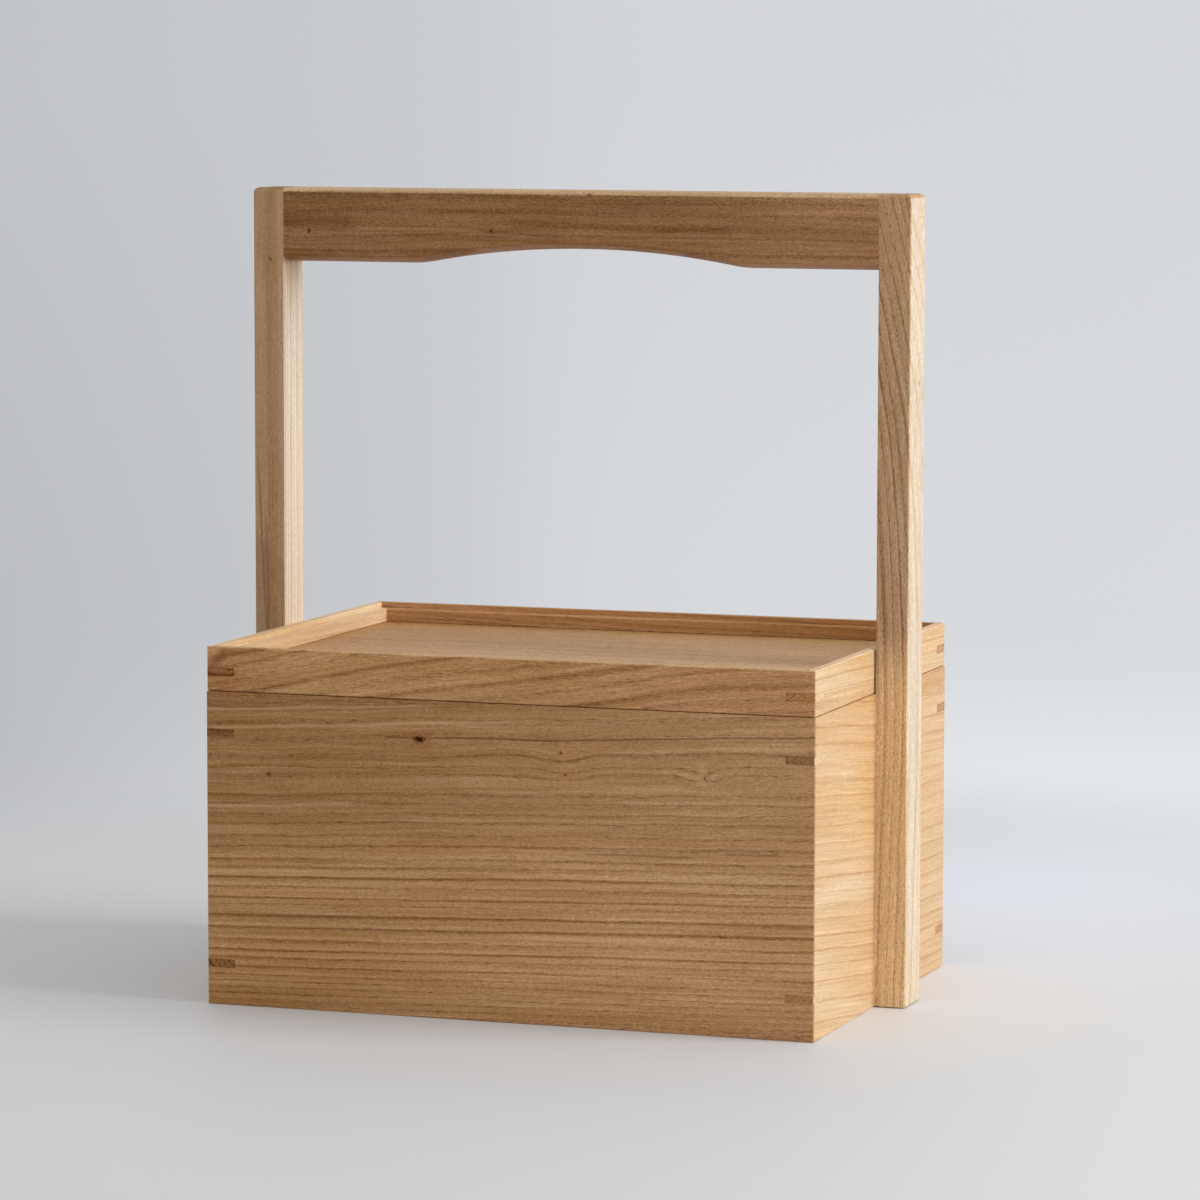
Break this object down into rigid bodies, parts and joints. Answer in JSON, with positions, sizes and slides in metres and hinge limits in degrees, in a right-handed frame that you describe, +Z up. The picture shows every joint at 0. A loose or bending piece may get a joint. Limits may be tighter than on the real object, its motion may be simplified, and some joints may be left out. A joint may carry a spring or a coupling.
{
  "type": "tea utensil box",
  "caption": "Wooden carrying box for tea utensils: a mitred box with keyed corners, a lift-off tray lid and a tall bridge handle.",
  "frame": {"origin": "on the floor, under the middle of the box", "axes": "+X to the right along the front, +Y to the rear, +Z up"},
  "size_m": [0.3312, 0.218, 0.3833],
  "materials": {
    "wall_boards": "oiled chestnut, satin",
    "lid_frame": "oiled chestnut, satin",
    "panels": "oiled chestnut, satin",
    "handle": "oiled chestnut, satin",
    "corner_keys": "oiled dark wood, end grain near the faces",
    "dowels": "plain beech, unfinished"
  },
  "bodies": {
    "box": {"front_wall": "wall_boards", "right_wall": "wall_boards", "rear_wall": "wall_boards", "left_wall": "wall_boards", "front_right_lower_key": "corner_keys", "front_right_upper_key": "corner_keys", "rear_right_lower_key": "corner_keys", "rear_right_upper_key": "corner_keys", "rear_left_lower_key": "corner_keys", "rear_left_upper_key": "corner_keys", "front_left_lower_key": "corner_keys", "front_left_upper_key": "corner_keys", "bottom_board": "panels", "left_post": "handle", "right_post": "handle", "handle_rail": "handle", "left_post_dowels": "dowels", "right_post_dowels": "dowels"},
    "lid": {"lid_front_rail": "lid_frame", "lid_right_rail": "lid_frame", "lid_rear_rail": "lid_frame", "lid_left_rail": "lid_frame", "lid_front_right_key": "corner_keys", "lid_rear_right_key": "corner_keys", "lid_rear_left_key": "corner_keys", "lid_front_left_key": "corner_keys", "lid_panel": "panels"}
  },
  "joints": [
    {"name": "lid_lift", "type": "slide", "parent": "box", "child": "lid", "axis": [0, 0, 1], "range_m": [0, 0.17]}
  ]
}
